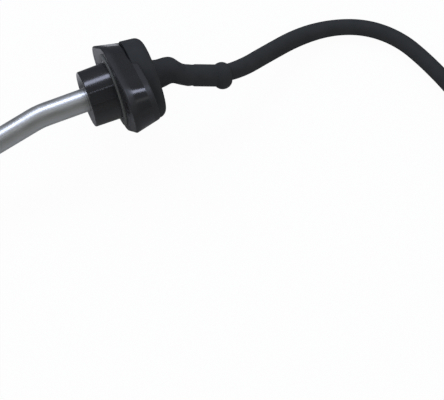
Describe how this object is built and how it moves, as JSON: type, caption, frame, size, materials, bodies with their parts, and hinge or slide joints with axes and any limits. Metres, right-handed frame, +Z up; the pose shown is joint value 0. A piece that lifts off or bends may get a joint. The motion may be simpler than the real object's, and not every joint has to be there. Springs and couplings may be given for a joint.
{
  "type": "oil level sensor",
  "caption": "Engine oil level sensor: bent slotted probe tube, two-bolt head with round boss and seal, rubber boot and a short lead ending in a connector.",
  "frame": {"origin": "centre of the two bolt holes on the sealing face, on the boss's axis", "axes": "X along the boss, +X towards the cable; +Z up from the surface that the sensor lies on"},
  "size_m": [0.4127, 0.1487, 0.07],
  "materials": {
    "head_plastic": "moulded black plastic, glossy",
    "bush_steel": "zinc-plated steel, satin",
    "bush_black": "blackened steel, satin",
    "seal_rubber": "black seal rubber, satin",
    "tube_aluminium": "drawn aluminium, satin",
    "carrier_plastic": "natural moulded plastic, matt",
    "terminal_brass": "stamped brass, satin",
    "hot_wire_metal": "bare resistance wire",
    "plug_plastic": "black moulded plastic, matt",
    "boot_rubber": "black moulded rubber, matt",
    "cable_sheath": "black extruded sheath, satin",
    "connector_plastic": "black moulded plastic, matt",
    "grommet_rubber": "rust-red seal rubber, matt",
    "lock_plastic": "pale grey moulded plastic, matt",
    "wire_red": "red wire insulation",
    "wire_black": "black wire insulation"
  },
  "bodies": {
    "root": {"head_moulding": "head_plastic", "bolt_bushes": "bush_black", "seal_ring": "seal_rubber", "probe_tube": "tube_aluminium", "tube_seal": "seal_rubber", "tube_lock_ring": "bush_steel", "terminal_carrier": "carrier_plastic", "element_carrier": "carrier_plastic", "element_pins": "terminal_brass", "hot_wire": "hot_wire_metal", "end_plug": "plug_plastic", "end_pin": "bush_steel", "rubber_boot": "boot_rubber", "cable": "cable_sheath", "connector_body": "connector_plastic", "connector_cap": "connector_plastic", "connector_seal": "grommet_rubber", "connector_lock": "lock_plastic", "head_terminal_a": "terminal_brass", "head_terminal_b": "terminal_brass", "connector_terminal_a": "terminal_brass", "connector_terminal_b": "terminal_brass", "probe_wire_a": "wire_red", "probe_wire_b": "wire_black", "head_core_a": "wire_red", "head_core_b": "wire_black", "connector_core_a": "wire_red", "connector_core_b": "wire_black"}
  },
  "joints": []
}
